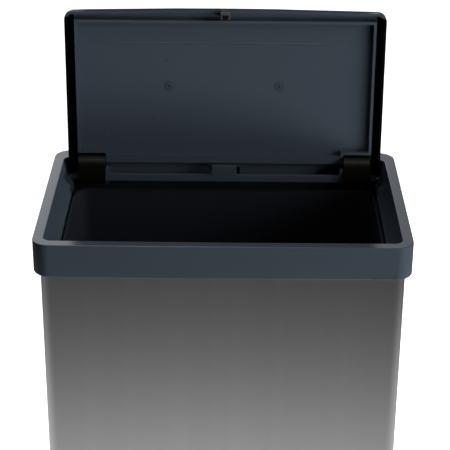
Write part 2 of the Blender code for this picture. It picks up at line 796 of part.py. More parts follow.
def tail_corner(wide, behind):
    """What is cut from a corner of the lid's tail, on the right: it leaves a round corner."""
    round_x = TAIL_HALF - LID_TAIL_CORNER
    round_y = LID_TAIL - LID_TAIL_CORNER
    outline = [(round_x, behind), (wide, behind), (wide, -LID_FOOT), (TAIL_HALF, -LID_FOOT)]
    for step in range(CORNER_STEPS + 1):
        angle = pi / 2 * step / CORNER_STEPS
        x = round_x + LID_TAIL_CORNER * cos(angle)
        y = round_y + LID_TAIL_CORNER * sin(angle)
        outline.append((x, y))
    return outline


def arm_outline():
    """The side view of a hinge arm on the closed lid, from the axis: Y and Z."""
    top = PLATE_UNDER - CLEARANCE
    outline = [(-ARM_TOP, top)]
    for step in range(ARC_STEPS + 1):
        angle = pi / 2 * step / ARC_STEPS
        y = -ARM_TOP * cos(angle)
        z = ARM_RISE - (ARM_RISE + ARM_BARREL) * sin(angle)
        outline.append((y, z))
    for step in range(1, ARC_STEPS + 1):
        angle = pi * BARREL_SHARE * step / ARC_STEPS
        outline.append((ARM_BARREL * sin(angle), -ARM_BARREL * cos(angle)))
    outline.append((-RAIL_BOTTOM, top))
    return outline


def hinge_arms(pivot):
    axis = (0, 0, 0)
    for side, word in ((-1, "left"), (1, "right")):
        arm_x = sorted((side * ARM_INNER, side * ARM_OUTER))
        arm = prism(f"hinge_arm_{word}", arm_outline(), *arm_x, BROWN_BLACK, pivot)
        smooth(arm)
        bore_x = sorted((side * (ARM_INNER - OVERRUN), side * (ARM_OUTER + OVERRUN)))
        cut(arm, rod("arm_bore", "x", PIN_BORE, *bore_x, axis, parent=pivot))
        cavity_x = sorted((side * CAVITY_START, side * (ARM_OUTER + OVERRUN)))
        cut(arm, rod("arm_cavity", "x", ARM_CAVITY, *cavity_x, axis, parent=pivot))
        bush_x = sorted((side * BUSH_START, side * ARM_OUTER))
        ring = ARM_CAVITY - CLEARANCE
        tube(f"hinge_bush_{word}", ring, PIN_BORE, *bush_x, axis, WHITE, pivot)
    start = CAVITY_START + CLEARANCE
    end = BUSH_START - CLEARANCE
    ring = ARM_CAVITY - CLEARANCE
    tube("damper_body", ring, PIN_BORE, start, end, axis, BLACK, pivot)


def hinge_pins():
    for side, word in ((-1, "left"), (1, "right")):
        start = LUG_INNER + CLEARANCE * 2
        pin_x = sorted((side * start, side * (PIN_END - CLEARANCE)))
        rod(f"hinge_pin_{word}", "x", PIN_RADIUS, *pin_x, (0, HINGE_Y, HINGE_Z), BRIGHT_STEEL)


def opening_spring():
    """The torsion spring coiled round the left hinge pin."""
    start = CAVITY_START + SPRING_WIRE + CLEARANCE
    end = BUSH_START - SPRING_WIRE - CLEARANCE
    steps = SPRING_TURNS * SPRING_STEPS
    points = []
    for step in range(steps + 1):
        angle = 2 * pi * step / SPRING_STEPS
        x = -start - (end - start) * step / steps
        y = HINGE_Y + SPRING_MEAN * cos(angle)
        z = HINGE_Z + SPRING_MEAN * sin(angle)
        points.append((x, y, z))
    wound("opening_spring", points, SPRING_WIRE, BRIGHT_STEEL)


def striker(pivot):
    """The catch under the front edge of the lid, with a notch in front for the hook."""
    outline = (
        (STRIKER_TOP_FRONT, LID_PLATE + CLEARANCE),
        (STRIKER_REAR, LID_PLATE + CLEARANCE),
        (STRIKER_REAR, STRIKER_TIP),
        (STRIKER_FRONT, STRIKER_TIP),
        (STRIKER_FRONT, NOTCH_BOTTOM),
        (NOTCH_BACK, NOTCH_BOTTOM),
        (NOTCH_BACK, NOTCH_TOP),
        (STRIKER_FRONT, NOTCH_TOP),
        (STRIKER_FRONT, STRIKER_SHOULDER),
        (STRIKER_TOP_FRONT, STRIKER_SHOULDER),
    )
    from_axis = [(FRONT + y - HINGE_Y, HINGE_DROP - depth) for y, depth in outline]
    catch = prism("striker", from_axis, -STRIKER_HALF, STRIKER_HALF, BRIGHT_STEEL, pivot)
    half = STRIKER_HALF - STRIKER_WALL
    low = (-half, FRONT + STRIKER_FRONT - HINGE_Y - OVERRUN, HINGE_DROP - NOTCH_BOTTOM)
    high = (half, FRONT + STRIKER_REAR - STRIKER_WALL - HINGE_Y, HINGE_DROP - NOTCH_TOP)
    cut(catch, box("striker_window", low, high, parent=pivot))


def latch_housing():
    top = BIN_HEIGHT - HOUSING_TOP
    outline = (
        (FRONT + HOUSING_FRONT, BIN_HEIGHT - HOUSING_BOTTOM),
        (FRONT + HOUSING_REAR, BIN_HEIGHT - HOUSING_BOTTOM),
        (FRONT + HOUSING_REAR, BIN_HEIGHT - HOUSING_LIP),
        (FRONT + HOUSING_FRONT + HOUSING_STEP, top),
        (FRONT + HOUSING_FRONT, top),
    )
    housing = prism("latch_housing", outline, -HOUSING_HALF, HOUSING_HALF, BLACK)
    ear_y = FRONT + THROAT_INSET - COLLAR_WALL - CLEARANCE
    low = (-EAR_HALF, ear_y - EAR_WALL, BIN_HEIGHT - EAR_BOTTOM)
    high = (EAR_HALF, ear_y, BIN_HEIGHT - EAR_TOP)
    fuse(housing, box("ears", low, high))
    low = (
        HOUSING_WALL - HOUSING_HALF,
        FRONT + HOUSING_FRONT + HOUSING_WALL,
        BIN_HEIGHT - HOUSING_BOTTOM + HOUSING_WALL,
    )
    high = (HOUSING_HALF - HOUSING_WALL, FRONT + HOUSING_REAR - HOUSING_WALL, BIN_HEIGHT)
    cut(housing, box("housing_room", low, high))
    for side, word in ((-1, "left"), (1, "right")):
        centre = (side * LATCH_SCREW_X, 0, BIN_HEIGHT - LATCH_SCREW_DEPTH)
        start = ear_y - EAR_WALL - OVERRUN
        hole = SCREW_RADIUS + CLEARANCE
        cut(housing, rod("ear_hole", "y", hole, start, ear_y + OVERRUN, centre))
        place = (centre[0], FRONT + THROAT_INSET + CLEARANCE, centre[2])
        length = COLLAR_WALL + EAR_WALL + OVERRUN
        sizes = (SCREW_HEAD, SCREW_HEAD_HEIGHT, SCREW_RADIUS, length)
        fastener(f"latch_screw_{word}", sizes, place, (-pi / 2, 0, 0))


def latch_slider():
    """The sliding carriage, raised as it stands while the lid is open."""
    inner_front = FRONT + HOUSING_FRONT + HOUSING_WALL + SLIDER_GAP
    inner_rear = FRONT + HOUSING_REAR - HOUSING_WALL - SLIDER_GAP
    half = HOUSING_HALF - HOUSING_WALL - SLIDER_GAP
    top = BIN_HEIGHT - SLIDER_TOP
    low = (-half, inner_front, top - SLIDER_HEIGHT)
    slider = box("latch_slider", low, (half, inner_rear, top), WHITE)
    low = (-HOOK_SLOT_HALF, inner_front - OVERRUN, top - HOOK_SLOT_DEPTH)
    high = (HOOK_SLOT_HALF, FRONT + HOOK_SLOT_REACH, top + OVERRUN)
    cut(slider, box("hook_slot", low, high))
    bore = HOOK_PIN_RADIUS + CLEARANCE
    cut(slider, rod("hook_bore", "x", bore, -half - OVERRUN, half + OVERRUN, hook_pivot()))


def hook_pivot():
    return (0, FRONT + HOOK_PIVOT_Y, BIN_HEIGHT - HOOK_PIVOT_DEPTH + LATCH_TRAVEL)


def latch_hook():
    """The hook on the carriage, swung forward out of the striker's way."""
    eye = HOOK_PIN_RADIUS + CLEARANCE * 2 + HOOK_BACK
    outline = [(HOOK_FRONT, 0)]
    for step in range(1, ARC_STEPS):
        angle = -pi * step / ARC_STEPS
        outline.append((eye * cos(angle), eye * sin(angle)))
    outline += [
        (-HOOK_FRONT, 0),
        (-HOOK_BACK, HOOK_TOP),
        (HOOK_NOSE - HOOK_BACK, HOOK_TOP),
        (HOOK_NOSE, HOOK_NOSE_BOTTOM + HOOK_BACK / 2),
        (HOOK_NOSE, HOOK_NOSE_BOTTOM),
        (HOOK_FRONT, HOOK_NOSE_BOTTOM),
    ]
    hook = prism("latch_hook", outline, -HOOK_HALF, HOOK_HALF, BRIGHT_STEEL)
    bore = HOOK_PIN_RADIUS + CLEARANCE
    hole = rod("pin_hole", "x", bore, -HOOK_HALF - OVERRUN, HOOK_HALF + OVERRUN, (0, 0, 0))
    cut(hook, hole)
    for item in (hook, hole):
        item.location = hook_pivot()
        item.rotation_euler = (HOOK_SWING, 0, 0)
    pin = HOOK_PIN_RADIUS
    rod("latch_hook_pin", "x", pin, -HOOK_PIN_HALF, HOOK_PIN_HALF, hook_pivot(), BRIGHT_STEEL)


def latch_spring():
    """The spring that lifts the carriage."""
    bottom = BIN_HEIGHT - HOUSING_BOTTOM + HOUSING_WALL + LATCH_WIRE + CLEARANCE
    top = BIN_HEIGHT - SLIDER_TOP - SLIDER_HEIGHT - LATCH_WIRE - CLEARANCE
    middle = FRONT + (HOUSING_FRONT + HOUSING_REAR) / 2
    steps = int(LATCH_TURNS * SPRING_STEPS)
    points = []
    for step in range(steps + 1):
        angle = 2 * pi * step / SPRING_STEPS
        z = bottom + (top - bottom) * step / steps
        points.append((LATCH_COIL * cos(angle), middle + LATCH_COIL * sin(angle), z))
    wound("latch_spring", points, LATCH_WIRE, BRIGHT_STEEL)


def lid_pivot():
    """The empty on the hinge axis that the lid's pieces hang from, turned to the open angle."""
    pivot = bpy.data.objects.new("lid_pivot", None)
    PARTS.objects.link(pivot)
    pivot.location = (0, HINGE_Y, HINGE_Z)
    pivot.rotation_euler = (-LID_OPEN, 0, 0)
    return pivot


def build_bin():
    base_tray()
    body_shell()
    collar()
    hinge_pins()
    opening_spring()
    pivot = lid_pivot()
    lid(pivot)
    hinge_arms(pivot)
    striker(pivot)
    latch_housing()
    latch_slider()
    latch_hook()
    latch_spring()
    inner_bucket()


build_bin()
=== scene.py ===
# The kitchen bin dressed for its picture: every piece as a copy with softened edges and a material,
# and the small moulding marks and the crease on the lid's panel.
# Metres, +Z up, the front towards -Y, the origin under the middle of the base.

import json
from math import cos, pi, radians, sin

import bmesh
import bpy
from mathutils import Matrix, Vector


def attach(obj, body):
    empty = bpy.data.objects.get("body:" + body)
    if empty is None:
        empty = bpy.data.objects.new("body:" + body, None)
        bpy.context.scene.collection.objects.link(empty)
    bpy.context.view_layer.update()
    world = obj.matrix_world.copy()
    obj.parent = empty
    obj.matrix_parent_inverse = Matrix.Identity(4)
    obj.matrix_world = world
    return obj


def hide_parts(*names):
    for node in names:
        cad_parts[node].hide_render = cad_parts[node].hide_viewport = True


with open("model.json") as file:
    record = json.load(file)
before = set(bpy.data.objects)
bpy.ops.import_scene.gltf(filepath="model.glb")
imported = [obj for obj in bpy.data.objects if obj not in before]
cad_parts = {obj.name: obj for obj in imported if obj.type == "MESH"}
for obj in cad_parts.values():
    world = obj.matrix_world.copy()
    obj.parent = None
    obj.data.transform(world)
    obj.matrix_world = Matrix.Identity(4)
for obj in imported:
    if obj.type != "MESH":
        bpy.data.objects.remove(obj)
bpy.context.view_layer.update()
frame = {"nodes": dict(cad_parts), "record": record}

# Camera
PICTURE_WIDTH = 450
FOCAL_PIXELS = 1496.98
SENSOR_WIDTH = 36
CAMERA_PLACE = Vector((0.00714, -1.51648, 1.34978))
CAMERA_PITCH = radians(25.58)
CAMERA_YAW = radians(-0.207)
CAMERA_ROLL = radians(0.436)
CAMERA_SIGHT = 120

# Plastic: its grain, and the broad clouds that change its shade and its gloss
GRAIN_SCALE = 700
GRAIN_DETAIL = 2
GRAIN_BUMP = 0.03
GRAIN_DEPTH = 0.0002
CLOUD_SCALE = 9
CLOUD_DETAIL = 3
CLOUD_SHADE = 0.05
CLOUD_GLOSS = 0.03

# Steel: fine streaks in its relief and its gloss, and broad ones in its shade
FINE_STREAK = (600, 600, 5)
FINE_DETAIL = 2
FINE_BUMP = 0.01
FINE_DEPTH = 0.0001
FINE_GLOSS = 0.015
BROAD_STREAK = (60, 60, 0.7)
BROAD_DETAIL = 3
BROAD_SHADE = 0.05

# Colours
SLATE_COLOUR = (0.0280, 0.0362, 0.0466)
# The gate rings, nibs and pin marks are the slate plastic, painted darker as the shade in and round them
RING_PAINTED_SHADE_COLOUR = (0.0225, 0.0295, 0.0385)
MARK_PAINTED_SHADE_COLOUR = (0.017, 0.022, 0.029)
BLACK_COLOUR = (0.008, 0.008, 0.009)
BUCKET_COLOUR = (0.0085, 0.0100, 0.0135)
BROWN_BLACK_COLOUR = (0.0016, 0.0014, 0.0010)
RUBBER_COLOUR = (0.03, 0.03, 0.03)
WHITE_COLOUR = (0.72, 0.72, 0.69)
STEEL_COLOUR = (0.56, 0.56, 0.565)
BRIGHT_STEEL_COLOUR = (0.62, 0.62, 0.62)
CATCH_COLOUR = (0.029, 0.029, 0.032)

# Painted shade: boxes from corner to corner on the bin with its lid open, with x counted to either side,
# where a darker colour and less sheen are painted in place of shadow. Faces that look more towards the
# back than BACK_FACING keep their look.
# Painted shade on the collar: the throat wall under the rail, and the bosses beside the hinge arms
THROAT_ZONE = ((-1, 0.052, 0.600), (0.185, 0.112, 0.6405))
BOSS_ZONE = ((0.150, 0.066, 0.600), (0.185, 0.112, 0.655))
THROAT_PAINTED_SHADE = (0.010, 0.012, 0.0155)
# Painted shadow: the lid's side skirts and the grooves inside them, near black and without sheen
LID_SIDE_ZONE = ((0.1717, 0.0, 0.600), (0.1822, 0.2, 0.832))
LID_SIDE_PAINTED_SHADOW = (0.0012, 0.0013, 0.0016)
# Painted shade on the lid's top edge: a little darker and without sheen, so that it shows no reflection
LID_END_ZONE = ((-1, 0.0, 0.8383), (1, 0.2, 0.9))
LID_END_PAINTED_SHADE = (0.024, 0.031, 0.040)
# Painted shade on the inner bucket's top rim, darker than the bucket and nearly without sheen
BUCKET_RIM_ZONE = ((-1, 0.055, 0.6322), (1, 0.2, 0.70))
BUCKET_RIM_PAINTED_SHADE = (0.0035, 0.0042, 0.0056)
# Painted shade on the middle of the striker's end face, between its lit side walls, and in its window
CATCH_ZONE = ((-1, 0.05, 0.82), (0.0034, 0.1000, 0.8376))
CATCH_PAINTED_SHADE = (0.004, 0.004, 0.0045)
BACK_FACING = 0.5

# Softened edges: the usual width and the widths of some nodes, the steps across, how sharp an edge has
# to be, how flat two faces have to lie to be joined, and how near corners have to be to be welded
EDGE = 0.0004
EDGES = {
    "collar": 0.0007,
    "lid": 0.0006,
    "hinge_arm_left": 0.0008,
    "hinge_arm_right": 0.0008,
    "body_shell": 0.0001,
}
EDGE_SEGMENTS = 2
EDGE_ANGLE = radians(38)
FLAT_ANGLE = radians(0.6)
WELD = 0.00001

# The marks are laid out on the closed lid, from the hinge axis, and then turned with the lid. Their
# places are x and the reach towards the front. The panel's underside lies PANEL_UNDER above the axis.
HINGE = Vector((0, 0.0863, 0.642))
LID_OPEN = radians(93.67)
LID_TURN = Matrix.Translation(HINGE) @ Matrix.Rotation(-LID_OPEN, 4, "X")
PANEL_UNDER = 0.0154
MARK_SINK = 0.0003
DOME_RINGS = 4

# Gate marks and pin marks: their places, and the radius, height and steps round of each kind
GATE_X = 0.0636
GATE_REACH = 0.1085
GATE_RING = (0.0068, 0.00022, 20)
GATE_NIB = (0.0015, 0.0014, 12)
EJECTOR = (0.0011, 0.0004, 10)
EJECTOR_PLACES = ((-0.068, 0.138), (-0.082, 0.069), (-0.132, 0.054))

# Crease: a raised line that bows towards the lid's front in its middle and fades at its ends
CREASE_START = -0.148
CREASE_END = 0.131
CREASE_STEPS = 40
CREASE_REACH = 0.1585
CREASE_BOW = 0.0012
CREASE_HEIGHT = 0.00045
CREASE_END_SINK = 0.00006
CREASE_EDGE_SINK = 0.00005
CREASE_BACK = -0.0022
CREASE_FRONT = 0.0007

# Floor and backdrop
STAGE_COLOUR = (0.92, 0.92, 0.92)
STAGE_ROUGHNESS = 0.9
STAGE_GLOW = 0.75
STAGE_REACH = 40.0
STAGE_SEGMENTS = 96
FLOOR_DROP = 0.0005

# Reflection card: its size and height, and its glow at some distances from the middle
CARD_REACH = 6.0
CARD_SEGMENTS = 64
CARD_HEIGHT = 0.001
CARD_SIDE_SHARE = 0.72
CARD_STOPS = (
    (0.30, 1.00),
    (0.60, 0.72),
    (0.80, 0.42),
    (0.95, 0.19),
    (1.10, 0.085),
    (1.30, 0.04),
    (1.70, 0.02),
)

# Soft brightness of the surroundings: the way to it, the cosines of its outer and inner edge, and the
# strength outside and inside it
WINDOW_WAY = Vector((-0.58, 0.80, 0.40)).normalized()
WINDOW_EDGES = (0.62, 0.95)
WINDOW_GLOW = (0.025, 1.62)
WINDOW_COLOUR = (0.93, 0.95, 1.0)

# Lamps: name, place, target, width, height, watts, and whether reflections show it
LAMPS = (
    ("overhead", (0.2, 0.9, 3.2), (0.2, 0.9, 0), 4.0, 4.0, 16, False),
    ("key", (4.68, -2.61, 0.912), (0, 0, 0.66), 3.06, 2.7, 245, False),
    ("low", (1.55, -1.55, 0.21), (0, 0, 0.75), 1.5, 0.42, 53, False),
    ("side", (3.44, -1.12, 2.25), (0, 0, 0.65), 1.44, 1.12, 132, False),
    ("above", (0.0, -0.35, 2.7), (0, 0, 0.7), 1.0, 0.16, 9, True),
)


def set_camera():
    """The camera of the photograph: looking down, a little turned and rolled, with no shift."""
    ahead = Vector(
        (
            sin(CAMERA_YAW) * cos(CAMERA_PITCH),
            cos(CAMERA_YAW) * cos(CAMERA_PITCH),
            -sin(CAMERA_PITCH),
        )
    )
    level_right = Vector((cos(CAMERA_YAW), -sin(CAMERA_YAW), 0))
    level_up = level_right.cross(ahead)
    right = level_right * cos(CAMERA_ROLL) + level_up * sin(CAMERA_ROLL)
    up = level_up * cos(CAMERA_ROLL) - level_right * sin(CAMERA_ROLL)
    data = bpy.data.cameras.new("camera")
    data.sensor_width = SENSOR_WIDTH
    data.lens = SENSOR_WIDTH * FOCAL_PIXELS / PICTURE_WIDTH
    data.clip_end = CAMERA_SIGHT
    camera = bpy.data.objects.new("camera", data)
    bpy.context.scene.collection.objects.link(camera)
    turn = Matrix((right, up, -ahead)).transposed().to_4x4()
    camera.matrix_world = Matrix.Translation(CAMERA_PLACE) @ turn
    bpy.context.scene.camera = camera


def new_material(name, colour, roughness, metallic=0.0):
    material = bpy.data.materials.new(name)
    material.use_nodes = True
    shader = material.node_tree.nodes["Principled BSDF"]
    shader.inputs["Base Color"].default_value = (*colour, 1)
    shader.inputs["Roughness"].default_value = roughness
    shader.inputs["Metallic"].default_value = metallic
    return material, shader


def add_noise(tree, place, scale, detail, stretch=(1, 1, 1)):
    """Noise over the object's own coordinates, stretched along some of them."""
    mapping = tree.nodes.new("ShaderNodeMapping")
    mapping.inputs["Scale"].default_value = stretch
    noise = tree.nodes.new("ShaderNodeTexNoise")
    noise.inputs["Scale"].default_value = scale
    noise.inputs["Detail"].default_value = detail
    tree.links.new(place.outputs["Object"], mapping.inputs["Vector"])
    tree.links.new(mapping.outputs["Vector"], noise.inputs["Vector"])
    return noise


def add_shade(tree, shader, noise, colour, spread):
    """The base colour, a little lighter and darker with the noise."""
    shade = tree.nodes.new("ShaderNodeMix")
    shade.data_type = "RGBA"
    shade.inputs["A"].default_value = (*(part * (1 - spread) for part in colour), 1)
    shade.inputs["B"].default_value = (*(part * (1 + spread) for part in colour), 1)
    tree.links.new(noise.outputs["Fac"], shade.inputs["Factor"])
    tree.links.new(shade.outputs["Result"], shader.inputs["Base Color"])


def add_gloss(tree, shader, noise, roughness, spread):
    """The roughness, a little more and less with the noise."""
    gloss = tree.nodes.new("ShaderNodeMapRange")
    gloss.inputs["To Min"].default_value = roughness - spread
    gloss.inputs["To Max"].default_value = roughness + spread
    tree.links.new(noise.outputs["Fac"], gloss.inputs["Value"])
    tree.links.new(gloss.outputs["Result"], shader.inputs["Roughness"])


def add_relief(tree, shader, noise, strength, depth):
    """A fine unevenness of the surface with the noise."""
    relief = tree.nodes.new("ShaderNodeBump")
    relief.inputs["Strength"].default_value = strength
    relief.inputs["Distance"].default_value = depth
    tree.links.new(noise.outputs["Fac"], relief.inputs["Height"])
    tree.links.new(relief.outputs["Normal"], shader.inputs["Normal"])


def plastic(name, colour, roughness, sheen=0.5, grain=GRAIN_SCALE, bump=GRAIN_BUMP):
    """Moulded plastic: a fine grain in the relief and a soft change of shade and gloss."""
    material, shader = new_material(name, colour, roughness)
    tree = material.node_tree
    shader.inputs["Specular IOR Level"].default_value = sheen
    place = tree.nodes.new("ShaderNodeTexCoord")
    add_relief(tree, shader, add_noise(tree, place, grain, GRAIN_DETAIL), bump, GRAIN_DEPTH)
    clouds = add_noise(tree, place, CLOUD_SCALE, CLOUD_DETAIL)
    add_shade(tree, shader, clouds, colour, CLOUD_SHADE)
    add_gloss(tree, shader, clouds, roughness, CLOUD_GLOSS)
    return material


def brushed_steel(name, colour, roughness):
    """Brushed steel: long upright streaks in the gloss, the shade and the relief."""
    material, shader = new_material(name, colour, roughness, metallic=1.0)
    tree = material.node_tree
    place = tree.nodes.new("ShaderNodeTexCoord")
    fine = add_noise(tree, place, 1, FINE_DETAIL, FINE_STREAK)
    broad = add_noise(tree, place, 1, BROAD_DETAIL, BROAD_STREAK)
    add_relief(tree, shader, fine, FINE_BUMP, FINE_DEPTH)
    add_shade(tree, shader, broad, colour, BROAD_SHADE)
    add_gloss(tree, shader, fine, roughness, FINE_GLOSS)
    return material


def compare(tree, operation, first, second):
    """A Math node on two inputs, each a socket or a number. Sums and products stay within one."""
    node = tree.nodes.new("ShaderNodeMath")
    node.operation = operation
    node.use_clamp = operation in ("ADD", "MULTIPLY")
    for socket, given in zip(node.inputs, (first, second)):
        if isinstance(given, (int, float)):
            socket.default_value = given
        else:
            tree.links.new(given, socket)
    return node.outputs["Value"]


def inside(tree, places, low, high):
    """One within the box from low to high, and nought outside it."""
    found = 1
    for place, least, most in zip(places, low, high):
        above = compare(tree, "GREATER_THAN", place, least)
        below = compare(tree, "LESS_THAN", place, most)
        found = compare(tree, "MULTIPLY", compare(tree, "MULTIPLY", above, below), found)
    return found


def paint_shade_zones(material, zones, shade, sheen):
    """Paint shade into a plastic within some boxes, mirrored over x: another colour and another sheen.
    """
    tree = material.node_tree
    shader = tree.nodes["Principled BSDF"]
    source = tree.nodes.new("ShaderNodeTexCoord")
    parts = tree.nodes.new("ShaderNodeSeparateXYZ")
    facing = tree.nodes.new("ShaderNodeSeparateXYZ")
    tree.links.new(source.outputs["Object"], parts.inputs["Vector"])
    tree.links.new(source.outputs["Normal"], facing.inputs["Vector"])
    across = compare(tree, "ABSOLUTE", parts.outputs["X"], 0)
    places = (across, parts.outputs["Y"], parts.outputs["Z"])
    found = 0
    for low, high in zones:
        found = compare(tree, "ADD", inside(tree, places, low, high), found)
    ahead = compare(tree, "LESS_THAN", facing.outputs["Y"], BACK_FACING)
    found = compare(tree, "MULTIPLY", found, ahead)
    colour = shader.inputs["Base Color"].links[0].from_socket
    glint = shader.inputs["Specular IOR Level"]
    mixed = tree.nodes.new("ShaderNodeMix")
    mixed.data_type = "RGBA"
    mixed.inputs["B"].default_value = (*shade, 1)
    tree.links.new(colour, mixed.inputs["A"])
    tree.links.new(found, mixed.inputs["Factor"])
    tree.links.new(mixed.outputs["Result"], shader.inputs["Base Color"])
    dull = tree.nodes.new("ShaderNodeMapRange")
    if glint.is_linked:
        tree.links.new(glint.links[0].from_socket, dull.inputs["To Min"])
    else:
        dull.inputs["To Min"].default_value = glint.default_value
    dull.inputs["To Max"].default_value = sheen
    tree.links.new(found, dull.inputs["Value"])
    tree.links.new(dull.outputs["Result"], glint)


SLATE = plastic("slate_plastic", SLATE_COLOUR, roughness=0.19)
# Gate rings, nibs and pin marks: the slate painted darker as shade
RING_SLATE = plastic("ring_plastic", RING_PAINTED_SHADE_COLOUR, roughness=0.24)
MARK_SLATE = plastic("mark_plastic", MARK_PAINTED_SHADE_COLOUR, roughness=0.24)
COLLAR_SLATE = plastic("collar_plastic", SLATE_COLOUR, roughness=0.16)
# Painted shade on the collar's throat wall under the rail and on the bosses beside the hinge arms
paint_shade_zones(COLLAR_SLATE, (THROAT_ZONE, BOSS_ZONE), THROAT_PAINTED_SHADE, sheen=0.05)
LID_SLATE = plastic("lid_plastic", SLATE_COLOUR, roughness=0.19)
# Painted shadow on the lid's side skirts, and painted shade without sheen on its top edge
paint_shade_zones(LID_SLATE, (LID_SIDE_ZONE,), LID_SIDE_PAINTED_SHADOW, sheen=0.05)
paint_shade_zones(LID_SLATE, (LID_END_ZONE,), LID_END_PAINTED_SHADE, sheen=0.0)
BLACK = plastic("black_plastic", BLACK_COLOUR, roughness=0.45)
DEEP_BLACK = plastic("bucket_plastic", BUCKET_COLOUR, roughness=0.6, sheen=0.1)
# Painted shade on the bucket's top rim
paint_shade_zones(DEEP_BLACK, (BUCKET_RIM_ZONE,), BUCKET_RIM_PAINTED_SHADE, sheen=0.03)
BROWN_BLACK = plastic("brown_black_plastic", BROWN_BLACK_COLOUR, roughness=0.40, sheen=0.15)
RUBBER = plastic("black_rubber", RUBBER_COLOUR, roughness=0.85, grain=1500, bump=0.15)
WHITE = plastic("white_plastic", WHITE_COLOUR, roughness=0.45)
STEEL = brushed_steel("body_steel", STEEL_COLOUR, roughness=0.30)
BRIGHT_STEEL = brushed_steel("bright_steel", BRIGHT_STEEL_COLOUR, roughness=0.34)
CATCH_GREY = plastic("coated_catch", CATCH_COLOUR, roughness=0.35, sheen=0.2)
# Painted shade on the middle of the striker's end face and in its window
paint_shade_zones(CATCH_GREY, (CATCH_ZONE,), CATCH_PAINTED_SHADE, sheen=0.1)

# Which nodes wear what. The others are bright steel.
LOOKS = (
    (COLLAR_SLATE, ("collar",)),
    (LID_SLATE, ("lid",)),
    (STEEL, ("body_shell",)),
    (BROWN_BLACK, ("hinge_arm_left", "hinge_arm_right")),
    (CATCH_GREY, ("striker",)),
    (BLACK, ("base_tray", "latch_housing", "damper_body")),
    (DEEP_BLACK, ("inner_bucket",)),
    (RUBBER, tuple(f"anti_slip_pad_{number}" for number in range(1, 5))),
    (WHITE, ("hinge_bush_left", "hinge_bush_right", "latch_slider")),
)
worn = {name: look for look, names in LOOKS for name in names}


def body_of(name):
    for body, names in frame["record"]["behaviour"]["bodies"].items():
        if name in names:
            return body


def new_object(name, build):
    """An object in the scene from a bmesh, which is used up."""
    mesh = bpy.data.meshes.new(name)
    build.to_mesh(mesh)
    build.free()
    item = bpy.data.objects.new(name, mesh)
    bpy.context.scene.collection.objects.link(item)
    return item


def add_smooth(name, build, look):
    """An object with smooth shading, in its look."""
    bmesh.ops.recalc_face_normals(build, faces=build.faces)
    item = new_object(name, build)
    item.data.materials.append(look)
    item.data.shade_smooth()
    return item


def soften(name, node):
    """A copy of a node with its seams welded, its flats joined and its edges rounded."""
    build = bmesh.new()
    build.from_mesh(node.data)
    bmesh.ops.remove_doubles(build, verts=build.verts, dist=WELD)
    bmesh.ops.dissolve_limit(
        build, angle_limit=FLAT_ANGLE, verts=build.verts, edges=build.edges, delimit={"NORMAL"}
    )
    item = add_smooth(name + "_soft", build, worn.get(name, BRIGHT_STEEL))
    step = item.modifiers.new("soft edges", "BEVEL")
    step.width = EDGES.get(name, EDGE)
    step.segments = EDGE_SEGMENTS
    step.limit_method = "ANGLE"
    step.angle_limit = EDGE_ANGLE
    step.use_clamp_overlap = True
    step.miter_outer = "MITER_ARC"
    normals = item.modifiers.new("normals", "WEIGHTED_NORMAL")
    normals.keep_sharp = True
    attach(item, body_of(name))
    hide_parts(name)


def add_mark(name, build, look):
    """A mark that was laid out on the closed lid, turned with it."""
    item = add_smooth(name, build, look)
    item.data.transform(LID_TURN)
    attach(item, "lid")


def add_dome(build, x, reach, size):
    """A low round swelling under the lid's panel, with its base sunk into the panel."""
    radius, height, steps = size
    turns = [2 * pi * step / steps for step in range(steps)]
    rows = []
    for ring in range(DOME_RINGS):
        angle = pi / 2 * ring / DOME_RINGS
        across = radius * cos(angle)
        z = PANEL_UNDER - height * sin(angle)
        rows.append(
            [build.verts.new((x + across * cos(turn), -reach + across * sin(turn), z)) for turn in turns]
        )
    top = build.verts.new((x, -reach, PANEL_UNDER - height))
    base = [build.verts.new((corner.co.x, corner.co.y, PANEL_UNDER + MARK_SINK)) for corner in rows[0]]
    build.faces.new(base)
    rows.insert(0, base)
    for lower, upper in zip(rows, rows[1:]):
        for step in range(steps):
            following = (step + 1) % steps
            build.faces.new((lower[step], lower[following], upper[following], upper[step]))
    for step in range(steps):
        build.faces.new((rows[-1][step], rows[-1][(step + 1) % steps], top))


def add_moulding_marks():
    """Two round gate marks, each with a nib, and three small pin marks."""
    for side, word in ((-1, "left"), (1, "right")):
        build = bmesh.new()
        add_dome(build, side * GATE_X, GATE_REACH, GATE_RING)
        add_mark(f"gate_ring_{word}", build, RING_SLATE)
        build = bmesh.new()
        add_dome(build, side * GATE_X, GATE_REACH, GATE_NIB)
        add_mark(f"gate_nib_{word}", build, MARK_SLATE)
    build = bmesh.new()
    for x, reach in EJECTOR_PLACES:
        add_dome(build, x, reach, EJECTOR)
    add_mark("ejector_marks", build, MARK_SLATE)


def add_crease():
    """The faint raised line across the upper part of the lid's inner face."""
    build = bmesh.new()
    rows = []
    for step in range(CREASE_STEPS + 1):
        x = CREASE_START + (CREASE_END - CREASE_START) * step / CREASE_STEPS
        share = 2 * step / CREASE_STEPS - 1
        reach = CREASE_REACH + CREASE_BOW * (1 - share**2)
        swell = CREASE_HEIGHT * (1 - share**4) - CREASE_END_SINK
        profile = (
            (CREASE_BACK, -MARK_SINK),
            (CREASE_BACK, -CREASE_EDGE_SINK),
            (0, swell),
            (CREASE_FRONT, -CREASE_EDGE_SINK),
            (CREASE_FRONT, -MARK_SINK),
        )
        rows.append(
            [build.verts.new((x, -reach - along, PANEL_UNDER - depth)) for along, depth in profile]
        )
    for first, second in zip(rows, rows[1:]):
        for index in range(len(first)):
            following = (index + 1) % len(first)
            build.faces.new((first[index], first[following], second[following], second[index]))
    build.faces.new(rows[0])
    build.faces.new(rows[-1])
    add_mark("panel_crease", build, SLATE)


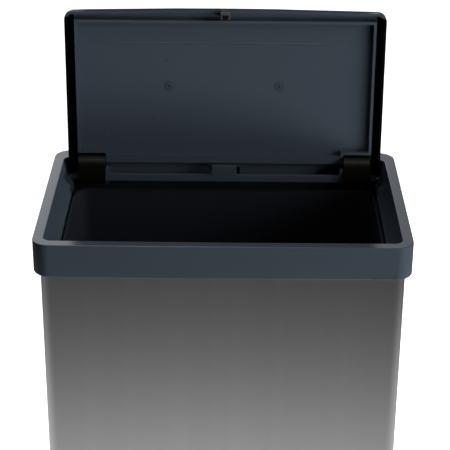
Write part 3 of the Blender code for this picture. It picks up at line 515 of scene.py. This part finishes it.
def add_stage(name, build):
    """A plain pale face that the camera sees and that lights and mirrors nothing."""
    face = new_object(name, build)
    face.location.z = -FLOOR_DROP
    material, shader = new_material(name, STAGE_COLOUR, STAGE_ROUGHNESS)
    shader.inputs["Emission Color"].default_value = (1, 1, 1, 1)
    shader.inputs["Emission Strength"].default_value = STAGE_GLOW
    face.data.materials.append(material)
    face.visible_diffuse = False
    face.visible_glossy = False
    return face


def set_stage():
    """A round floor, and far round it a wall, so that a low camera sees nothing else."""
    floor = bmesh.new()
    bmesh.ops.create_circle(floor, cap_ends=True, segments=STAGE_SEGMENTS, radius=STAGE_REACH)
    add_stage("floor", floor)
    wall = bmesh.new()
    bmesh.ops.create_cone(
        wall,
        cap_ends=False,
        segments=STAGE_SEGMENTS,
        radius1=STAGE_REACH,
        radius2=STAGE_REACH,
        depth=2 * STAGE_REACH,
    )
    add_stage("backdrop", wall).visible_shadow = False


def grey(shade):
    return (shade, shade, shade, 1)


def new_card_material():
    """A glow that fades with the distance from the middle, more slowly to the sides."""
    material = bpy.data.materials.new("reflection_card")
    material.use_nodes = True
    tree = material.node_tree
    tree.nodes.remove(tree.nodes["Principled BSDF"])
    glow = tree.nodes.new("ShaderNodeEmission")
    place = tree.nodes.new("ShaderNodeTexCoord")
    squeeze = tree.nodes.new("ShaderNodeMapping")
    squeeze.inputs["Scale"].default_value = (CARD_SIDE_SHARE, 1, 1)
    away = tree.nodes.new("ShaderNodeVectorMath")
    away.operation = "LENGTH"
    reach = tree.nodes.new("ShaderNodeMapRange")
    near, far = CARD_STOPS[0][0], CARD_STOPS[-1][0]
    reach.inputs["From Min"].default_value = near
    reach.inputs["From Max"].default_value = far
    ramp = tree.nodes.new("ShaderNodeValToRGB")
    stops = ramp.color_ramp.elements
    for where, shade in CARD_STOPS[1:-1]:
        stops.new((where - near) / (far - near)).color = grey(shade)
    stops[0].color = grey(CARD_STOPS[0][1])
    stops[len(stops) - 1].color = grey(CARD_STOPS[-1][1])
    tree.links.new(place.outputs["Object"], squeeze.inputs["Vector"])
    tree.links.new(squeeze.outputs["Vector"], away.inputs[0])
    tree.links.new(away.outputs["Value"], reach.inputs["Value"])
    tree.links.new(reach.outputs["Result"], ramp.inputs["Fac"])
    tree.links.new(ramp.outputs["Color"], glow.inputs["Color"])
    tree.links.new(glow.outputs["Emission"], tree.nodes["Material Output"].inputs["Surface"])
    return material


def set_card():
    """A round card on the floor that only shows in reflections, pale near the bin and dark away."""
    build = bmesh.new()
    bmesh.ops.create_circle(build, cap_ends=True, segments=CARD_SEGMENTS, radius=CARD_REACH)
    card = new_object("reflection_card", build)
    card.data.materials.append(new_card_material())
    card.location.z = CARD_HEIGHT
    card.visible_camera = False
    card.visible_diffuse = False
    card.visible_shadow = False


def set_world():
    """Dim surroundings with one broad soft brightness behind the bin, a little to the left."""
    world = bpy.data.worlds.new("studio")
    bpy.context.scene.world = world
    world.use_nodes = True
    tree = world.node_tree
    place = tree.nodes.new("ShaderNodeTexCoord")
    towards = tree.nodes.new("ShaderNodeVectorMath")
    towards.operation = "DOT_PRODUCT"
    towards.inputs[1].default_value = WINDOW_WAY
    spread = tree.nodes.new("ShaderNodeMapRange")
    spread.interpolation_type = "SMOOTHSTEP"
    spread.inputs["From Min"].default_value = WINDOW_EDGES[0]
    spread.inputs["From Max"].default_value = WINDOW_EDGES[1]
    spread.inputs["To Min"].default_value = WINDOW_GLOW[0]
    spread.inputs["To Max"].default_value = WINDOW_GLOW[1]
    tree.links.new(place.outputs["Generated"], towards.inputs[0])
    tree.links.new(towards.outputs["Value"], spread.inputs["Value"])
    tree.links.new(spread.outputs["Result"], tree.nodes["Background"].inputs["Strength"])
    tree.nodes["Background"].inputs["Color"].default_value = (*WINDOW_COLOUR, 1)


def add_light(name, place, target, width, height, energy, mirrored):
    """A rectangular lamp at a place, turned towards its target."""
    data = bpy.data.lights.new(name, "AREA")
    data.energy = energy
    data.shape = "RECTANGLE"
    data.size = width
    data.size_y = height
    lamp = bpy.data.objects.new(name, data)
    bpy.context.scene.collection.objects.link(lamp)
    place, target = Vector(place), Vector(target)
    turn = (target - place).to_track_quat("-Z", "Y").to_matrix().to_4x4()
    lamp.matrix_world = Matrix.Translation(place) @ turn
    lamp.visible_glossy = mirrored


set_camera()
for name, node in frame["nodes"].items():
    soften(name, node)
add_moulding_marks()
add_crease()
set_stage()
set_card()
set_world()
for lamp in LAMPS:
    add_light(*lamp)
bpy.context.scene.view_settings.view_transform = "Standard"
